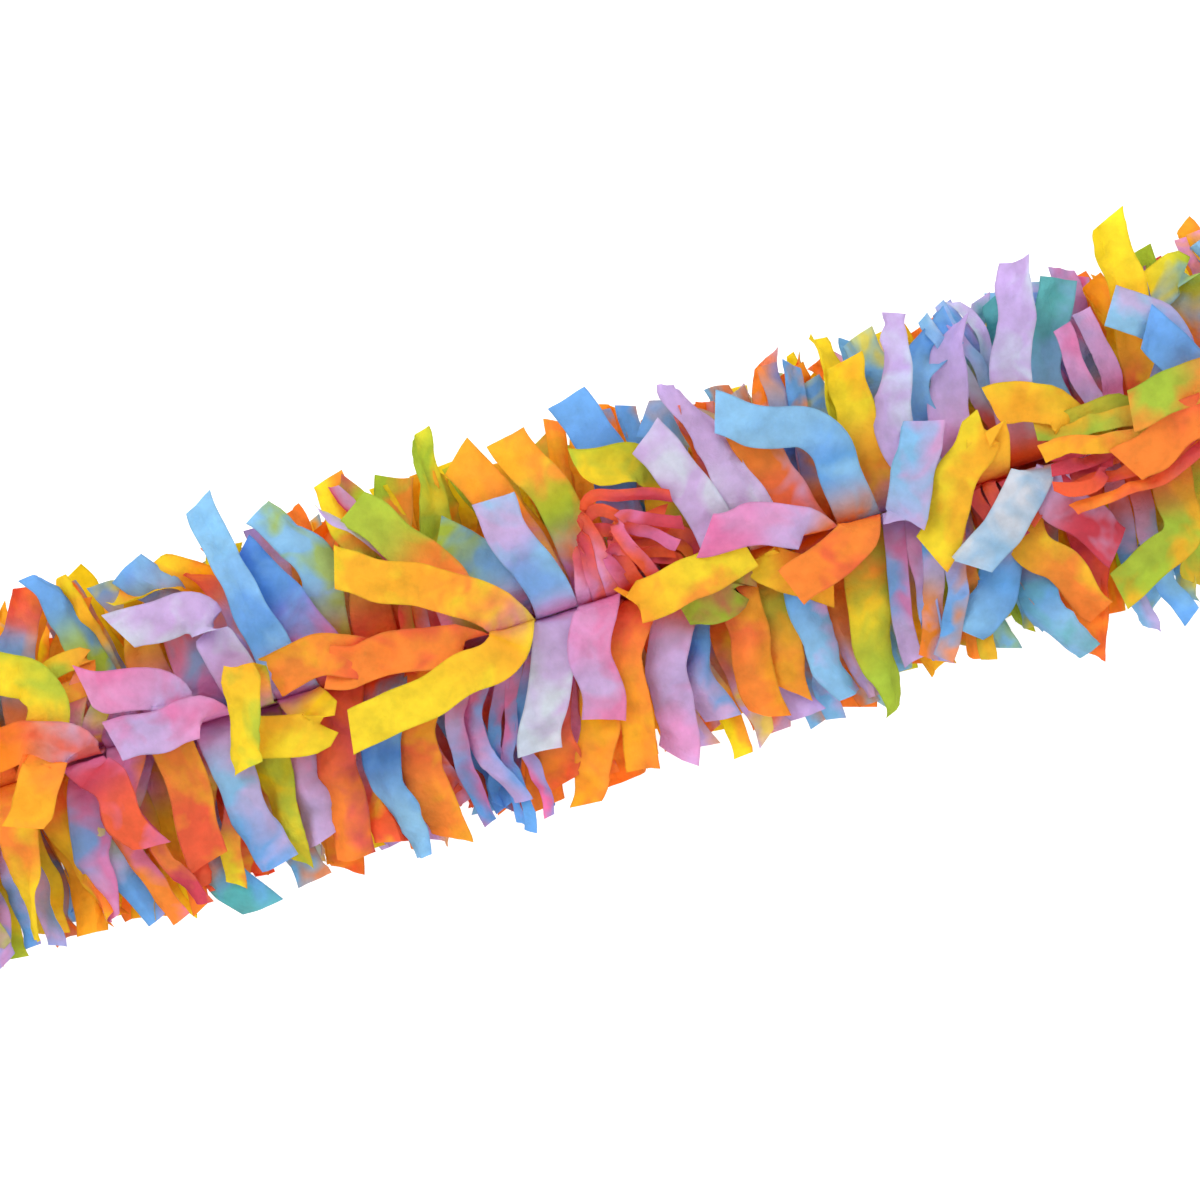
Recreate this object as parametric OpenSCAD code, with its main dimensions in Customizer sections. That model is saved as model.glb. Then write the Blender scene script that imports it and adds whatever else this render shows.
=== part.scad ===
// Tissue paper festoon garland, a plain length of it lying on a table.
// Six sheets of tissue are slit into a fringe from both long edges, stacked on a string,
// twisted together and fluffed out. X runs along the garland, Y across it and Z up from the table.

/* [Fringe] */
// Width of one cut strip
strip_w = 18.6; // [14:0.2:24]
// Distance from the string to the tips at each side
reach = 76; // [60:1:90]
// Number of strips along each long edge of a sheet
strips = 33; // [21:2:41]
// Thickness of a sheet, its crumple included
sheet_t = 0.2; // [0.12:0.02:0.4]

/* [Core] */
// Width of the uncut band that runs down the middle of each sheet
band_w = 8; // [6:0.5:12]
// Length of the uncut tab at each end of the band, under the tie
tab_len = 7; // [6:0.5:12]
// Diameter of the string that carries the sheets
string_d = 1.8; // [1:0.1:3]
// Diameter of the thread that ties each end
tie_d = 1.2; // [0.8:0.1:1.6]
// Turns of thread in each end tie
tie_turns = 4; // [3:1:5]
// Free distance between layers in the core
core_gap = 0.15; // [0.1:0.05:0.4]

/* [Lie] */
// Height of the string above the table
core_h = 42; // [36:1:52]
// Twist of the stack from one strip to the next, in degrees
twist = 24; // [18:1:30]
// How far the tips lean along the garland
lean = 16; // [0:1:22]
// Number that picks another scatter of the loose strips
scatter = 35; // [0:1:99]

/* [Hidden] */
sheets = 6;
// Main tint of each sheet, from the bottom of the stack up
TINT = [[0.38, 0.66, 0.9], [0.66, 0.76, 0.14], [0.99, 0.55, 0.06], [0.76, 0.64, 0.86],
    [0.89, 0.2, 0.18], [0.99, 0.84, 0.04]];
fringe_len = strips * strip_w;
sector = 180 / sheets;
pinch = 180 / twist * strip_w;
string_r = string_d / 2;
root_r = 12;
cut = 0.8;

// Strips laid over the top by hand, so that they cross the parting, double back or lie along
// the garland. A row has the strip's slot, counted from the middle, its place beside the parting
// with 1 and -1 nearest to it, its elbow, its tip, and its roll. Points are in millimetres.
LAID = [
    [-15, -1, [-278, -30, 64], [-284, -64, 60], 10],
    [-14, 1, [-262, 22, 66], [-273, 56, 60], 10],
    [-14, -1, [-257, -26, 68], [-266, -65, 60], 10],
    [-13, 1, [-226, 34, 75], [-258, 53, 73], 0],
    [-13, 2, [-238, 48, 63], [-229, 77, 60], 50],
    [-13, -1, [-232, 8, 85], [-253, -19, 82], 0],
    [-12, 1, [-222, 9, 77], [-268, 18, 75], 0],
    [-12, 2, [-204, 35, 69], [-232, 33, 68], 10],
    [-12, -1, [-214, -12, 80], [-206, -42, 76], 20],
    [-12, -2, [-234, -34, 62], [-232, -66, 56], 10],
    [-11, 1, [-208, 40, 61], [-217, 79, 60], 40],
    [-11, -1, [-216, -26, 67], [-199, -73, 61], 40],
    [-11, -2, [-224, -34, 60], [-211, -71, 54], 0],
    [-10, 1, [-178, 18, 76], [-213, 26, 74], 0],
    [-10, -1, [-185, -12, 70], [-188, -56, 62], 0],
    [-10, -2, [-186, -50, 56], [-173, -81, 52], 15],
    [-9, 1, [-172, 3, 80], [-208, 5, 78], 0],
    [-9, 2, [-169, 50, 62], [-188, 66, 59], 0],
    [-9, -1, [-166, -24, 71], [-157, -66, 65], 30],
    [-9, -2, [-175, -34, 64], [-184, -66, 60], 0],
    [-8, 1, [-158, 46, 77], [-195, 46, 75], 0],
    [-8, 2, [-154, 58, 60], [-190, 68, 57], 10],
    [-8, -1, [-147, 22, 87], [-158, -23, 84], 40],
    [-8, -2, [-150, -30, 64], [-147, -66, 59], 50],
    [-7, 1, [-139, 42, 76], [-154, 87, 67], 20],
    [-7, 2, [-143, 34, 66], [-160, 62, 64], 10],
    [-7, -1, [-122, -16, 77], [-161, -12, 75], 0],
    [-7, -2, [-139, -28, 63], [-138, -63, 57], 10],
    [-6, 1, [-118, 24, 70], [-137, 60, 67], 0],
    [-6, 2, [-107, 50, 64], [-115, 79, 58], 10],
    [-6, -1, [-124, -30, 68], [-122, -73, 60], 20],
    [-5, 1, [-104, 9, 77], [-139, 13, 75], 0],
    [-5, 2, [-86, 50, 62], [-89, 81, 59], 15],
    [-5, -1, [-106, -38, 66], [-103, -79, 58], 10],
    [-4, 1, [-70, 40, 67], [-94, 75, 67], 45],
    [-4, 2, [-75, 46, 57], [-76, 72, 54], 0],
    [-4, -1, [-92, -38, 66], [-85, -76, 58], 20],
    [-3, 1, [-58, 33, 76], [-86, 67, 75], 0],
    [-3, 2, [-56, 46, 58], [-54, 87, 55], 45],
    [-3, -1, [-62, -1, 79], [-115, 8, 77], 0],
    [-3, -2, [-72, -36, 66], [-63, -72, 58], 30],
    [-2, 1, [-46, 15, 82], [-99, 43, 79], 0],
    [-2, 2, [-34, 24, 69], [-56, 45, 65], 0],
    [-2, -1, [-46, -11, 83], [-115, -20, 80], 0],
    [-2, -2, [-54, -42, 63], [-54, -80, 56], 35],
    [-1, 1, [-20, 18, 76], [-31, 53, 70], 0],
    [-1, 2, [-27, 48, 64], [-31, 75, 58], 15],
    [-1, -1, [-22, -8, 73], [-42, -53, 67], 0],
    [-1, -2, [-34, -38, 60], [-38, -70, 54], 15],
    [0, 1, [2, 36, 75], [36, 26, 74], 30],
    [0, 2, [-5, 48, 63], [-16, 77, 58], 10],
    [0, -1, [-8, -12, 76], [-12, -48, 70], 0],
    [0, -2, [-16, -48, 63], [-25, -81, 58], 0],
    [1, 1, [10, 27, 77], [38, 16, 75], 35],
    [1, 2, [21, 56, 62], [9, 83, 57], 20],
    [1, -1, [9, -7, 82], [63, 1, 80], 0],
    [1, -2, [2, -20, 73], [4, -73, 67], 30],
    [2, 1, [44, 10, 67], [11, 20, 68], 25],
    [2, 2, [36, 48, 62], [10, 52, 71], 25],
    [2, -1, [20, -28, 67], [18, -73, 60], 20],
    [2, -2, [28, -32, 57], [29, -62, 53], 25],
    [3, 1, [53, 18, 80], [38, 60, 72], 0],
    [3, 2, [60, 42, 66], [58, 69, 62], 38],
    [3, -1, [54, -16, 71], [29, -12, 69], 10],
    [3, -2, [54, -28, 65], [46, -63, 58], 0],
    [4, 1, [69, 25, 77], [61, 76, 68], 0],
    [4, 2, [62, 52, 58], [42, 71, 54], 20],
    [4, -1, [64, -3, 73], [94, -22, 71], 15],
    [4, -2, [69, -30, 59], [62, -60, 54], 20],
    [5, 1, [85, 18, 73], [78, 56, 70], 10],
    [5, 2, [96, 46, 65], [101, 72, 61], 20],
    [5, -1, [82, 6, 87], [50, 14, 85], 0],
    [5, -2, [79, -26, 68], [91, -67, 61], 0],
    [6, 1, [107, 38, 80], [68, 60, 77], 0],
    [6, 2, [108, 34, 60], [107, 60, 56], 0],
    [6, -1, [105, -9, 84], [78, -19, 81], 0],
    [6, -2, [102, -44, 62], [107, -81, 56], 0],
    [7, 1, [121, 24, 69], [128, 64, 63], 15],
    [7, 2, [121, 38, 66], [115, 77, 59], 35],
    [7, -1, [126, -11, 80], [149, 31, 78], 0],
    [7, -2, [124, -30, 65], [121, -64, 58], 10],
    [8, 1, [133, 30, 75], [147, 76, 67], 0],
    [8, 2, [147, 46, 65], [166, 72, 59], 0],
    [8, -1, [139, -30, 69], [127, -64, 62], 15],
    [8, -2, [144, -38, 58], [145, -70, 54], 20],
    [9, 1, [174, 25, 79], [135, -22, 76], 0],
    [9, 2, [157, 24, 68], [173, 67, 62], 0],
    [9, -1, [165, -3, 73], [174, -26, 71], 10],
    [9, -2, [162, -44, 66], [140, -58, 64], 0],
    [10, 1, [187, 30, 68], [203, 84, 60], 0],
    [10, 2, [178, 44, 58], [171, 74, 54], 30],
    [10, -1, [184, -5, 77], [153, -33, 75], 0],
    [10, -2, [173, -25, 66], [198, -64, 62], 0],
    [10, -3, [171, -54, 58], [177, -84, 53], 0],
    [11, 1, [209, 20, 73], [177, 26, 72], 20],
    [11, 2, [201, 30, 63], [215, 73, 58], 15],
    [11, -1, [187, -9, 73], [210, -43, 70], 0],
    [11, -2, [196, -56, 58], [190, -81, 54], 30],
    [12, 1, [230, 8, 75], [203, 10, 73], 10],
    [12, 2, [224, 26, 66], [219, 52, 64], 15],
    [12, -1, [214, -8, 81], [191, -4, 80], 30],
    [12, -2, [219, -54, 58], [221, -81, 54], 25],
    [13, 1, [260, 34, 79], [236, 54, 77], 0],
    [13, 2, [244, 48, 66], [251, 87, 59], 10],
    [13, -1, [240, 2, 83], [190, 8, 81], 30],
    [13, -2, [238, -46, 67], [208, -64, 64], 0],
    [14, 1, [261, 17, 82], [247, 41, 80], 10],
    [14, 2, [272, 62, 64], [254, 57, 66], 10],
    [14, -1, [246, -13, 81], [196, -13, 79], 30],
    [14, -2, [252, -34, 60], [246, -68, 55], 0],
    [15, -1, [262, 2, 88], [221, -12, 86], 0],
    [16, -1, [270, 14, 91], [230, 9, 89], 0]];
// Loose strips that lie without a wander of their own, as slot and place
STILL = [
    [-15, -2], [-15, 1], [-13, 3], [-12, 3], [-11, -3], [-11, 2], [-11, 4], [-10, -3], [-5, -3],
    [-5, 3], [1, 3], [3, -4], [4, -4], [5, -4], [5, 4], [6, -3], [9, 3], [10, 3], [11, 4], [14, 4]];
// Width of strip that the rows are given for
LAID_W = 18.6;

// A repeatable number from 0 to 1 for each pair of whole numbers
function dice(a, b) = let (s = sin(a * 127.1 + b * 311.7) * 43758.5453) s - floor(s);
function spread(a, b) = 2 * dice(a, b) - 1;
function unit(v) = v / norm(v);
function square_to(v, t) = unit(v - (v * t) * t);

// Lines where the slits end, with the ends of the tabs before and after them
function line_x(j) =
    j == 0 ? -fringe_len / 2 - tab_len :
    j == strips + 2 ? fringe_len / 2 + tab_len :
    (j - 1) * strip_w - fringe_len / 2;
function strip_x(k) = (k + 0.5) * strip_w - fringe_len / 2;
function turn(x) = 90 + twist * (x + 14) / strip_w;

// A sheet's height in the stack, measured from the string's centre
function stack_v(sheet) =
    let (p = sheet - (sheets - 1) / 2, step = sheet_t + core_gap)
    sign(p) * (string_r + core_gap + sheet_t / 2 + (abs(p) - 0.5) * step);

// Corner of the middle band: edge 0 or 1, side 1 for its upper face and -1 for its lower one
function band_corner(sheet, j, edge, side) =
    let (x = line_x(j), a = turn(x), u = (edge == 0 ? 1 : -1) * band_w / 2,
         v = stack_v(sheet) + side * sheet_t / 2)
    [x, u * cos(a) - v * sin(a), core_h + u * sin(a) + v * cos(a)];

// Direction in which a strip leaves the core
function heading(sheet, edge, k) =
    let (fan = (sheet - (sheets - 1) / 2) * sector, a = turn(strip_x(k)))
    edge == 0 ? a + fan : a + 180 - fan;

// Place of a strip beside the parting: 1, 2, 3 and so on to one side and -1, -2, -3 to the other
function place(sheet, edge, k) =
    let (a = heading(sheet, edge, k) + 90, b = a - 360 * floor(a / 360) - 180)
    b <= 0 ? floor(-b / sector) + 1 : -floor(b / sector) - 1;

function scatter_seed(sheet, edge, k) = sheet * 97 + edge * 53 + k + 1000 * scatter;
function is_still(sheet, edge, k) =
    len([for (s = STILL) if (s[0] == k - (strips - 1) / 2 && s[1] == place(sheet, edge, k)) s]) > 0;

// The fringe is pressed flatter further out, and turns aside where it meets the table
function rise_share(r) = 14 + 76 * exp(-max(0, r - root_r) / 20);
function fall_share(r) = r <= core_h ? 90 : asin((core_h - sheet_t / 2) / r);
function elevation(up, r) =
    up >= 0 ? up / 90 * rise_share(r) : max(-1, up / 80) * fall_share(r);

// Strips that point down lean, roll and wander less
function calm(up) = min(1, max(0, 1 + (up + 15) / 35));
// Their bend lies out on the table
function mid_r(up) = reach / 2 + (core_h + 4 - reach / 2) * min(1, max(0, (-up - 50) / 30));

// Centres of a loose strip's rings
function loose_ring(a, k, r, curl, shift) =
    let (up = asin(sin(a)), aside = cos(a) >= 0 ? 1 : -1,
         e = elevation(up, r) + (up > -60 ? curl : 0) * r / reach,
         along = lean * (0.65 * sin(360 * strip_x(k) / pinch + 2 * a) + 0.35 * sin(3 * a + 40)))
    [strip_x(k) + (along + shift) * calm(up) * pow(r / reach, 1.5), aside * r * cos(e),
        core_h + r * sin(e)];

function loose_path(sheet, edge, k) =
    let (a = heading(sheet, edge, k), seed = scatter_seed(sheet, edge, k),
         free = is_still(sheet, edge, k) ? 0 : 1, curl = 3 * free * spread(seed, 1),
         shift = 5 * free * spread(seed, 2), long = 1 - 0.16 * dice(seed, 3))
    [for (r = [root_r, mid_r(asin(sin(a))), reach * long]) loose_ring(a, k, r, curl, shift)];

// Centres of the rings of a strip that is laid by hand. It rises above the string, the pair beside
// the parting closest to each other, and then bends over to its elbow.
function laid_path(row, k) =
    let (slide = [strip_x(k) - row[0] * LAID_W, 0, 0], elbow = row[2] + slide, tip = row[3] + slide,
         apart = abs(row[1]) == 1 ? 0.1 : 0.22)
    [[strip_x(k), apart * elbow[1], elbow[2] - 4], elbow, tip];

// Corners of a ring, from its centre, its width direction and its normal
function ring_corners(c, w, n) =
    [for (x = [-1, 1]) for (y = [1, -1]) c + x * w * (strip_w - cut) / 2 + y * n * sheet_t / 2];

function rolled(w, t, roll) = w * cos(roll) + cross(t, w) * sin(roll);

function strip_rings(path, start, flat, hand, roll) =
    let (t1 = unit(path[0] - start), t2 = unit(path[2] - path[1]), w1 = square_to([1, 0, 0], t1),
         level = unit(cross([0, 0, 1], t2)),
         w2 = flat ? (level * w1 >= 0 ? level : -level) : square_to(w1, t2),
         w = [w1, rolled(w2, t2, 0.6 * roll), rolled(w2, t2, roll)], t = [t1, t2, t2])
    [for (m = [0 : 2]) each ring_corners(path[m], w[m], hand * cross(w[m], t[m]))];

// The row that lays a strip, or undef if it lies loose
function laid_row(sheet, edge, k) =
    let (slot = k - (strips - 1) / 2, p = place(sheet, edge, k))
    [for (row = LAID) if (row[0] == slot && row[1] == p) row][0];

function loose_roll(sheet, edge, k) =
    is_still(sheet, edge, k) ? 0
    : 30 * calm(asin(sin(heading(sheet, edge, k)))) * spread(scatter_seed(sheet, edge, k), 4);

function rings(sheet, edge, k) =
    let (row = laid_row(sheet, edge, k), laid = !is_undef(row),
         start = [strip_x(k), 0, core_h] + band_w / 2 * (edge == 0 ? 1 : -1)
             * [0, cos(turn(strip_x(k))), sin(turn(strip_x(k)))])
    strip_rings(laid ? laid_path(row, k) : loose_path(sheet, edge, k), start, laid,
        edge == 0 ? 1 : -1, laid ? row[4] : loose_roll(sheet, edge, k));

function quad(a, b, c, d, flip) = flip ? [[a, c, b], [a, d, c]] : [[a, b, c], [a, c, d]];

// One sheet as a single skin: the twisted middle band with every strip growing out of its edges
module sheet_solid(sheet) {
    lines = strips + 3;
    band_points = [for (j = [0 : lines - 1]) for (edge = [0, 1]) for (side = [1, -1])
        band_corner(sheet, j, edge, side)];
    strip_points = [for (edge = [0, 1]) for (k = [0 : strips - 1])
        each rings(sheet, edge, k)];
    function on_band(j, edge, low) = 4 * j + 2 * edge + low;
    function on_strip(edge, k, ring, right, low) =
        ring == 0 ? on_band(k + 1 + right, edge, low)
        : 4 * lines + ((edge * strips + k) * 3 + ring - 1) * 4 + 2 * right + low;
    // Each cell of the twisted band creases along the diagonal that keeps clear of the string
    crease = sheet < sheets / 2 ? 0 : 1;
    function cell(j, low) =
        [on_band(j, 0, low), on_band(j + 1, 0, low), on_band(j + 1, 1, low), on_band(j, 1, low)];
    band_faces = [for (j = [0 : lines - 2]) for (low = [0, 1]) let (c = cell(j, low)) each
        quad(c[crease], c[crease + 1], c[crease + 2], c[(crease + 3) % 4], low == 1)];
    tab_faces = [for (j = [0, lines - 2]) for (edge = [0, 1]) each
        quad(on_band(j, edge, 0), on_band(j, edge, 1), on_band(j + 1, edge, 1),
            on_band(j + 1, edge, 0), edge == 1)];
    end_faces = concat(
        quad(on_band(0, 0, 0), on_band(0, 1, 0), on_band(0, 1, 1), on_band(0, 0, 1), false),
        quad(on_band(lines - 1, 0, 0), on_band(lines - 1, 1, 0), on_band(lines - 1, 1, 1),
            on_band(lines - 1, 0, 1), true));
    strip_faces = [for (edge = [0, 1]) for (k = [0 : strips - 1]) for (m = [0 : 2]) each concat(
        quad(on_strip(edge, k, m, 0, 0), on_strip(edge, k, m + 1, 0, 0),
            on_strip(edge, k, m + 1, 1, 0), on_strip(edge, k, m, 1, 0), edge == 1),
        quad(on_strip(edge, k, m, 0, 1), on_strip(edge, k, m + 1, 0, 1),
            on_strip(edge, k, m + 1, 1, 1), on_strip(edge, k, m, 1, 1), edge == 0),
        quad(on_strip(edge, k, m, 0, 1), on_strip(edge, k, m + 1, 0, 1),
            on_strip(edge, k, m + 1, 0, 0), on_strip(edge, k, m, 0, 0), edge == 1),
        quad(on_strip(edge, k, m, 1, 1), on_strip(edge, k, m + 1, 1, 1),
            on_strip(edge, k, m + 1, 1, 0), on_strip(edge, k, m, 1, 0), edge == 0))];
    tip_faces = [for (edge = [0, 1]) for (k = [0 : strips - 1]) each
        quad(on_strip(edge, k, 3, 0, 0), on_strip(edge, k, 3, 0, 1),
            on_strip(edge, k, 3, 1, 1), on_strip(edge, k, 3, 1, 0), edge == 1)];
    polyhedron(concat(band_points, strip_points),
        concat(band_faces, tab_faces, end_faces, strip_faces, tip_faces), convexity = 10);
}

module tissue_sheet_1() { color(TINT[0]) sheet_solid(0); }
module tissue_sheet_2() { color(TINT[1]) sheet_solid(1); }
module tissue_sheet_3() { color(TINT[2]) sheet_solid(2); }
module tissue_sheet_4() { color(TINT[3]) sheet_solid(3); }
module tissue_sheet_5() { color(TINT[4]) sheet_solid(4); }
module tissue_sheet_6() { color(TINT[5]) sheet_solid(5); }

// The string runs the whole length between the sheets, with a knot outside each end tie
module centre_string() {
    knot_r = 1.6 * string_d;
    half = fringe_len / 2 + tab_len + knot_r;
    color([0.93, 0.9, 0.84]) {
        translate([-half, 0, core_h]) rotate([0, 90, 0]) cylinder(r = string_r, h = 2 * half, $fn = 48);
        for (x = [-half, half]) translate([x, 0, core_h]) sphere(r = knot_r, $fn = 48);
    }
}

// Turns of thread round the uncut tabs
module end_tie(x) {
    stack_half = string_r + core_gap + 3 * sheet_t + 2 * core_gap;
    inner = norm([band_w / 2, stack_half]) + 0.1;
    color([0.96, 0.94, 0.9]) translate([x, 0, core_h]) rotate([0, 90, 0])
        for (i = [0 : tie_turns - 1]) translate([0, 0, (i - (tie_turns - 1) / 2) * 0.9 * tie_d])
            rotate_extrude($fn = 48) translate([inner + tie_d / 2, 0]) circle(d = tie_d, $fn = 24);
}
module end_tie_left() { end_tie(-(fringe_len + tab_len) / 2); }
module end_tie_right() { end_tie((fringe_len + tab_len) / 2); }

tissue_sheet_1();
tissue_sheet_2();
tissue_sheet_3();
tissue_sheet_4();
tissue_sheet_5();
tissue_sheet_6();
centre_string();
end_tie_left();
end_tie_right();
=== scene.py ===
"""Looks of a tissue paper festoon garland: six slit sheets, twisted and fluffed out on a string.

The garland lies along X on a white table and the camera looks straight down on it, so that it
rises to the right across the picture. Lengths in the tables are millimetres, as in the part's
source, and turn into metres where the paths are made.
"""
import math

import bpy
import numpy as np
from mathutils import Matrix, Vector


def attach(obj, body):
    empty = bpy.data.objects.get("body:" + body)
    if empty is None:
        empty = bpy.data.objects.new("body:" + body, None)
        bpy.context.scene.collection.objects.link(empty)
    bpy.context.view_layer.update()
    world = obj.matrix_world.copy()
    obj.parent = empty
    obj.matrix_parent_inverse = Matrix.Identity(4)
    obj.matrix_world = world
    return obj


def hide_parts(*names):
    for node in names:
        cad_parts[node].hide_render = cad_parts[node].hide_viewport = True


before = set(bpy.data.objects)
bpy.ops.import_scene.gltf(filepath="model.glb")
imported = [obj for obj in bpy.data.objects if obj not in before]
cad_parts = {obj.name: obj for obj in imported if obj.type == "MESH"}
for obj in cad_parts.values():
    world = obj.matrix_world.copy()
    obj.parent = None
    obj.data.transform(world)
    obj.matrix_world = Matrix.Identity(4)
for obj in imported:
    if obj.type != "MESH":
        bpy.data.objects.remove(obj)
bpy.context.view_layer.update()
MM = 0.001

# How the strips are laid and drawn, lengths in millimetres where nothing else is said
NEXT_TO_PARTING = 0.03  # how far out to its elbow a strip beside the parting has risen
FURTHER_OUT = 0.22  # and the strips behind it
ELBOW_EASE = 7  # length over which a corner is rounded, to each side
TIP_OFF_TABLE = 0.0004  # metres
PLY_OFFSET = 0.24  # of a thread's diameter, from its centre to the centre of each ply
PLY_LAY = 2.4  # length in which a ply of thread turns once

# Camera: straight down through a long lens, 496 mm of table across the picture
PICTURE_WIDTH = 0.496
CAMERA_HEIGHT = 2.26
GARLAND_TOP = 0.06
GARLAND_SLOPE = 17.2
camera_data = bpy.data.cameras.new("camera_above")
camera_data.sensor_width = 36
camera_data.lens = 36 * (CAMERA_HEIGHT - GARLAND_TOP) / PICTURE_WIDTH
camera_data.clip_start = 0.1
camera_data.clip_end = 20
camera = bpy.data.objects.new("camera_above", camera_data)
camera.location = (0, 0, CAMERA_HEIGHT)
camera.rotation_euler = (0, 0, math.radians(-GARLAND_SLOPE))
bpy.context.scene.collection.objects.link(camera)
bpy.context.scene.camera = camera

# Sizes of the garland, the same as the part's source has
STRIP_W = 18.6
CUT = 0.8
REACH = 76
STRIPS = 33
SHEETS = 6
SHEET_T = 0.2
BAND_W = 8
TAB_LEN = 7
STRING_D = 1.8
TIE_D = 1.2
TIE_TURNS = 4
KNOT_R = 1.6 * STRING_D
CORE_GAP = 0.15
CORE_H = 42
TWIST = 24
LEAN = 16
SCATTER = 35
ROOT_R = 12
FRINGE_LEN = STRIPS * STRIP_W
SECTOR = 180 / SHEETS
PINCH = 180 / TWIST * STRIP_W

# Tissue dyes as they look in daylight
DYES = {
    "L": "#DCC6EE",  # lavender
    "P": "#EFB2DE",  # pink
    "M": "#EE90C4",  # magenta
    "W": "#E2ECF5",  # pale blue
    "C": "#A4D6F4",  # light blue
    "B": "#86C0F2",  # blue
    "D": "#649AE4",  # deep blue
    "T": "#7CCACC",  # teal
    "V": "#C4D850",  # lime
    "Y": "#FDEA3E",  # yellow
    "G": "#FFC93C",  # golden
    "O": "#FFA548",  # orange
    "R": "#F87A50",  # red
    "K": "#E05C70",  # crimson
}
# Colour of the core and the strips' roots, up to each X: partly dye, partly painted shade of the
# deep core
CORE_DYES_AND_SHADE = [(-225, "O"), (-125, "P"), (-60, "R"), (5, "P"), (60, "R"), (118, "O"), (160, "L"),
             (999, "R")]

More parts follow.
